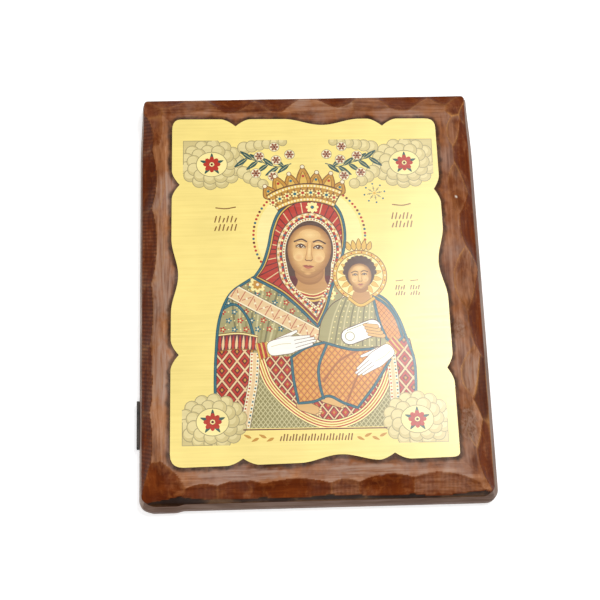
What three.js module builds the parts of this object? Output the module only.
// A carved wooden icon panel lying on its back, with its picture facing up.
// Millimetres, +Z up, +Y towards the picture's top. The origin is the centre of the board's flat back.
import * as THREE from 'three';

// Board
const BOARD_WIDTH = 200;
const BOARD_LENGTH = 250;
const BOARD_THICKNESS = 20;
const HALF_WIDTH = BOARD_WIDTH / 2;
const HALF_LENGTH = BOARD_LENGTH / 2;
const CORNER_RADII = { topLeft: 2.5, bottomLeft: 5.5, bottomRight: 7, topRight: 1.5 };
const BACK_BEVEL = 1.2;
// The walls stand upright up to the knee, then lean in by these drafts up to the arris.
const WALL_KNEE = 6;
const WALL_DRAFTS = { left: 1.4, right: 2.4, top: 1.5, bottom: 2.2 };
const FOOT_SWELL = { middle: -86, half: 11, out: 1, fade: 8 };
const TOP_NARROWING = { start: 85, by: 1.2 };

// Carving: the flat top ends this far in from the edges, and the chisel cuts fall away outside it.
const CARVED_WIDTH = 19.4;
const CARVED_RINGS = 9;
const OUTLINE_STEP = 4;
const CORNER_STEPS = 5;

// Each side has a broad row of shallow cuts and an edge row of steep ones.
// A cut is [place along the side, how far in from the edge it reaches, half its length].
// Dip is how much shorter a cut reaches at the ends of its length.
// A broad cut falls at one slope, and an edge cut falls to a straight arris at arrisHeight.
// An edge cut is never narrower than narrowest, so that the arris runs on between cuts.
// The arrises of the left and right sides rise by topLift from LIFT_START on, to meet the top's arris.
const LIFT_START = 104;
const CARVED_SIDES = {
  left: {
    broad: {
      slope: 0.2,
      dip: 4,
      cuts: [
        [104, 14, 18], [70, 15.5, 22], [26, 15.5, 22],
        [-14, 16, 20], [-50, 14.5, 18], [-84, 15, 20],
      ],
    },
    edge: {
      arrisHeight: 10,
      topLift: 3.8,
      narrowest: 0.8,
      dip: 3,
      cuts: [
        [97, 9.5, 12], [70, 11.6, 18], [28, 11.6, 22],
        [-13, 9.7, 24], [-52, 9.2, 26], [-88, 9, 22],
      ],
    },
  },
  right: {
    broad: {
      slope: 0.36,
      dip: 7,
      cuts: [
        [97, 16.5, 14], [61, 18, 19], [2, 18.5, 19],
        [-55, 18.4, 15], [-84, 17.5, 16],
      ],
    },
    edge: {
      arrisHeight: 10,
      topLift: 3.8,
      narrowest: 0.8,
      dip: 5,
      cuts: [
        [110, 9, 16], [83, 13.5, 23], [38, 12.5, 21],
        [-20, 11.6, 24], [-65, 12.4, 22], [-96, 12.4, 22],
      ],
    },
  },
  top: {
    broad: {
      slope: 0.3,
      dip: 3.5,
      cuts: [
        [-80, 14, 22], [-35, 14.5, 20], [7, 16, 22],
        [38, 14, 16], [76, 15, 20],
      ],
    },
    edge: {
      arrisHeight: 13.8,
      topLift: 0,
      narrowest: 4,
      dip: 6.5,
      cuts: [
        [-86, 11, 15], [-44.5, 13.6, 13], [-17.5, 13.4, 12.5],
        [18.5, 12.6, 11.5], [58.5, 13.8, 14], [84, 12, 10],
      ],
    },
  },
  bottom: {
    broad: {
      slope: 0.6,
      dip: 3,
      cuts: [
        [-64, 11, 11], [-43, 12.8, 13], [-13, 12.6, 20],
        [14, 12, 9], [39, 14, 15], [66, 14.4, 15],
      ],
    },
    edge: {
      arrisHeight: 9.5,
      topLift: 0,
      narrowest: 2.4,
      dip: 1,
      cuts: [[-82, 5.6, 22], [-36, 5, 22], [7, 5.6, 20], [42, 5.6, 18], [80, 5, 16]],
    },
  },
};
const CORNER_ROW = { slope: 0.35, dip: 3.7 };
const CORNER_CUTS = {
  topLeft: [0, 20, 15],
  topRight: [0, 22, 15],
  bottomLeft: [0, 27, 15],
  bottomRight: [0, 14, 15],
};

// Picture sheet: its outline runs near a straight edge on each side, with two sharp cusps and one soft waist.
// Edge is the outline's distance from the centre, and lean is its change per millimetre along the side.
const PRINT_THICKNESS = 0.6;
const PRINT_SIDES = {
  left: { edge: 81.2, lean: -0.01, cusps: [64.9, -39.9], cuspDepth: 4.6, waist: 8 },
  top: { edge: 106.4, lean: -0.014, cusps: [-42.5, 45], cuspDepth: 4.7, waist: 9 },
  right: { edge: 77.5, lean: -0.006, cusps: [59.2, -51], cuspDepth: 3.6, waist: 13 },
  bottom: { edge: 103.7, lean: -0.015, cusps: [-41.9, 42], cuspDepth: 3.8, waist: 12 },
};
const PRINT_CORNER_CUTS = { topLeft: 6, topRight: 7, bottomRight: 4, bottomLeft: 6.5 };
const CUSP_HALF_WIDTH = 9;
const CUSP_SHARPNESS = 1.7;
const WAIST_DEPTH = 4;
const WAIST_HALF_WIDTH = 23;
const PRINT_STEP = 2;

// Dark plate on the left side
const PLATE_LENGTH = 27.6;
const PLATE_HEIGHT = 4.2;
const PLATE_THICKNESS = 1.5;
const PLATE_CENTRE_Y = -76;
const PLATE_BOTTOM = 1.8;
const PLATE_GAP = 0.15;
const PLATE_END_RADIUS = 1.2;

function smoothStep(low, high, value) {
  const t = Math.min(1, Math.max(0, (value - low) / (high - low)));
  return t * t * (3 - 2 * t);
}

// Height of one chisel cut over a point this far along a side and in from its edge.
function cutHeight(row, [place, reach, half], along, inward, draft) {
  const reachHere = reach - row.dip * ((along - place) / half) ** 2;
  if (row.slope) {
    return BOARD_THICKNESS - (reachHere - inward) * row.slope;
  }
  const edgeReach = Math.max(reachHere, draft + row.narrowest);
  const arris = row.arrisHeight + row.topLift * smoothStep(LIFT_START, HALF_LENGTH, along);
  const slope = (BOARD_THICKNESS - arris) / (edgeReach - draft);
  return BOARD_THICKNESS - (edgeReach - Math.max(inward, draft)) * slope;
}

// Height of the carved front over the point (x, y).
function frontHeight(x, y) {
  const places = {
    left: [y, HALF_WIDTH + x],
    right: [y, HALF_WIDTH - x],
    top: [x, HALF_LENGTH - y],
    bottom: [x, HALF_LENGTH + y],
  };
  const heights = [BOARD_THICKNESS];
  for (const [side, [along, inward]] of Object.entries(places)) {
    for (const row of Object.values(CARVED_SIDES[side])) {
      heights.push(...row.cuts.map((cut) => cutHeight(row, cut, along, inward, WALL_DRAFTS[side])));
    }
  }
  const fromCornerX = HALF_WIDTH - Math.abs(x);
  const fromCornerY = HALF_LENGTH - Math.abs(y);
  const diagonal = (fromCornerX + fromCornerY) / Math.SQRT2;
  const across = (fromCornerX - fromCornerY) / Math.SQRT2;
  const corner = (y < 0 ? 'bottom' : 'top') + (x < 0 ? 'Left' : 'Right');
  heights.push(cutHeight(CORNER_ROW, CORNER_CUTS[corner], across, diagonal));
  return Math.min(...heights);
}

// Points along a straight run, without its last point.
function straightRun(from, to) {
  const steps = Math.ceil(from.distanceTo(to) / OUTLINE_STEP);
  return Array.from({ length: steps }, (_, i) => from.clone().lerp(to, i / steps));
}

// Anticlockwise rounded rectangle of the board's foot, a little narrower towards its top
// and slightly swollen at the left of its bottom edge.
function boardOutline() {
  const { topLeft, topRight, bottomLeft, bottomRight } = CORNER_RADII;
  const corners = [
    [new THREE.Vector2(HALF_WIDTH - bottomRight, -HALF_LENGTH + bottomRight), bottomRight, -Math.PI / 2],
    [new THREE.Vector2(HALF_WIDTH - topRight, HALF_LENGTH - topRight), topRight, 0],
    [new THREE.Vector2(-HALF_WIDTH + topLeft, HALF_LENGTH - topLeft), topLeft, Math.PI / 2],
    [new THREE.Vector2(-HALF_WIDTH + bottomLeft, -HALF_LENGTH + bottomLeft), bottomLeft, Math.PI],
  ];
  const arcs = corners.map(([centre, radius, start]) =>
    Array.from({ length: CORNER_STEPS + 1 }, (_, i) => {
      const angle = start + (i / CORNER_STEPS) * (Math.PI / 2);
      return new THREE.Vector2(Math.cos(angle), Math.sin(angle)).multiplyScalar(radius).add(centre);
    }),
  );
  const points = arcs.flatMap((arc, i) => {
    const nextStart = arcs[(i + 1) % arcs.length][0];
    return [...arc.slice(0, -1), ...straightRun(arc[CORNER_STEPS], nextStart)];
  });
  for (const point of points) {
    const fromSwell = Math.abs(point.x - FOOT_SWELL.middle);
    const along = 1 - smoothStep(FOOT_SWELL.half / 2, FOOT_SWELL.half, fromSwell);
    const low = 1 - smoothStep(0, FOOT_SWELL.fade, point.y + HALF_LENGTH);
    point.y -= FOOT_SWELL.out * along * low;
    const high = smoothStep(TOP_NARROWING.start, HALF_LENGTH, point.y);
    point.x *= 1 - (TOP_NARROWING.by / HALF_WIDTH) * high;
  }
  return points;
}

// The outline drawn in by its own distance on each side, with a height for each point.
function ring(outline, insets, height) {
  return outline.map((point) => {
    const x = point.x * (1 - (point.x < 0 ? insets.left : insets.right) / HALF_WIDTH);
    const y = point.y * (1 - (point.y < 0 ? insets.bottom : insets.top) / HALF_LENGTH);
    return new THREE.Vector3(x, y, height(x, y));
  });
}

// Insets of a ring that runs some share of the way from the arris to the flat top.
function carvedInsets(share) {
  const sides = Object.entries(WALL_DRAFTS);
  return Object.fromEntries(sides.map(([side, draft]) => [side, draft + (CARVED_WIDTH - draft) * share]));
}

// A closed body from rings of equal length, lowest first, with flat caps on the first and the last.
function ringBody(rings) {
  const count = rings[0].length;
  const indices = [];
  for (let r = 0; r < rings.length - 1; r += 1) {
    for (let i = 0; i < count; i += 1) {
      const a = r * count + i;
      const b = r * count + ((i + 1) % count);
      indices.push(a, b, b + count, a, b + count, a + count);
    }
  }
  const lastRing = (rings.length - 1) * count;
  for (const [a, b, c] of THREE.ShapeUtils.triangulateShape(rings[0], [])) {
    indices.push(a, c, b);
  }
  for (const [a, b, c] of THREE.ShapeUtils.triangulateShape(rings.at(-1), [])) {
    indices.push(lastRing + a, lastRing + b, lastRing + c);
  }
  const geometry = new THREE.BufferGeometry().setFromPoints(rings.flat());
  geometry.setIndex(indices);
  geometry.computeVertexNormals();
  return geometry;
}

function boardGeometry() {
  const outline = boardOutline();
  const bevel = { left: BACK_BEVEL, right: BACK_BEVEL, top: BACK_BEVEL, bottom: BACK_BEVEL };
  const upright = { left: 0, right: 0, top: 0, bottom: 0 };
  const rings = [
    ring(outline, bevel, () => 0),
    ring(outline, upright, () => BACK_BEVEL),
    ring(outline, upright, () => WALL_KNEE),
  ];
  for (let i = 0; i < CARVED_RINGS; i += 1) {
    rings.push(ring(outline, carvedInsets(i / CARVED_RINGS), frontHeight));
  }
  rings.push(ring(outline, carvedInsets(1), () => BOARD_THICKNESS));
  return ringBody(rings);
}

// How far from the centre the picture's outline runs, at a place along one of its sides.
function printReach(side, along) {
  let reach = side.edge + side.lean * along;
  const fromWaist = Math.abs(along - side.waist) / WAIST_HALF_WIDTH;
  if (fromWaist < 1) {
    reach -= WAIST_DEPTH * Math.cos((fromWaist * Math.PI) / 2) ** 2;
  }
  for (const cusp of side.cusps) {
    const fromCusp = Math.abs(along - cusp) / CUSP_HALF_WIDTH;
    if (fromCusp < 1) {
      reach -= side.cuspDepth * (1 - fromCusp) ** CUSP_SHARPNESS;
    }
  }
  return reach;
}

// Places along a side, with each cusp's tip among them.
function sidePlaces(side, low, high) {
  const places = [...side.cusps];
  const steps = Math.ceil((high - low) / PRINT_STEP);
  for (let i = 0; i <= steps; i += 1) {
    const place = low + ((high - low) * i) / steps;
    if (side.cusps.every((cusp) => Math.abs(place - cusp) > PRINT_STEP / 2)) {
      places.push(place);
    }
  }
  return places.sort((a, b) => a - b);
}

// Anticlockwise outline of the picture. At each corner a curve joins one side's end to the next one's start.
function printShape() {
  const { left, top, right, bottom } = PRINT_SIDES;
  const { topLeft, topRight, bottomRight, bottomLeft } = PRINT_CORNER_CUTS;
  const lowX = -left.edge;
  const lowY = -bottom.edge;
  const runs = [
    sidePlaces(bottom, lowX + bottomLeft, right.edge - bottomRight)
      .map((x) => [x, -printReach(bottom, x)]),
    sidePlaces(right, lowY + bottomRight, top.edge - topRight)
      .map((y) => [printReach(right, y), y]),
    sidePlaces(top, lowX + topLeft, right.edge - topRight)
      .map((x) => [x, printReach(top, x)]).reverse(),
    sidePlaces(left, lowY + bottomLeft, top.edge - topLeft)
      .map((y) => [-printReach(left, y), y]).reverse(),
  ];
  const shape = new THREE.Shape();
  shape.moveTo(...runs[0][0]);
  runs.forEach((run, i) => {
    run.slice(1).forEach((point) => shape.lineTo(...point));
    const end = run.at(-1);
    const next = runs[(i + 1) % runs.length][0];
    const bulge = i % 2 === 0 ? [next[0], end[1]] : [end[0], next[1]];
    shape.quadraticCurveTo(...bulge, ...next);
  });
  return shape;
}

function printGeometry() {
  return new THREE.ExtrudeGeometry(printShape(), {
    depth: PRINT_THICKNESS,
    bevelEnabled: false,
    curveSegments: 5,
  });
}

// The plate's outline lies along Y and Z: square at its upper end, rounded at its lower end.
function plateGeometry() {
  const half = PLATE_LENGTH / 2;
  const shape = new THREE.Shape();
  shape.moveTo(half, 0);
  shape.lineTo(half, PLATE_HEIGHT);
  shape.lineTo(-half + PLATE_END_RADIUS, PLATE_HEIGHT);
  shape.quadraticCurveTo(-half, PLATE_HEIGHT, -half, PLATE_HEIGHT - PLATE_END_RADIUS);
  shape.lineTo(-half, PLATE_END_RADIUS);
  shape.quadraticCurveTo(-half, 0, -half + PLATE_END_RADIUS, 0);
  shape.closePath();
  const geometry = new THREE.ExtrudeGeometry(shape, {
    depth: PLATE_THICKNESS,
    bevelEnabled: false,
    curveSegments: 6,
  });
  const alongY = new THREE.Vector3(0, 1, 0);
  const alongZ = new THREE.Vector3(0, 0, 1);
  const alongX = new THREE.Vector3(1, 0, 0);
  return geometry.applyMatrix4(new THREE.Matrix4().makeBasis(alongY, alongZ, alongX));
}

function piece(name, geometry, look) {
  const mesh = new THREE.Mesh(geometry, new THREE.MeshStandardMaterial(look));
  mesh.name = name;
  return mesh;
}

const board = piece('board', boardGeometry(), { color: 0x6b3a1e, roughness: 0.45, metalness: 0 });

const print = piece('icon_print', printGeometry(), { color: 0xf3d67c, roughness: 0.3, metalness: 0.2 });
print.position.z = BOARD_THICKNESS;

const plate = piece('side_plate', plateGeometry(), { color: 0x1e1a18, roughness: 0.5, metalness: 0.4 });
plate.position.set(-HALF_WIDTH - PLATE_GAP - PLATE_THICKNESS, PLATE_CENTRE_Y, PLATE_BOTTOM);

const panel = new THREE.Group();
panel.add(board, print, plate);

export default panel;
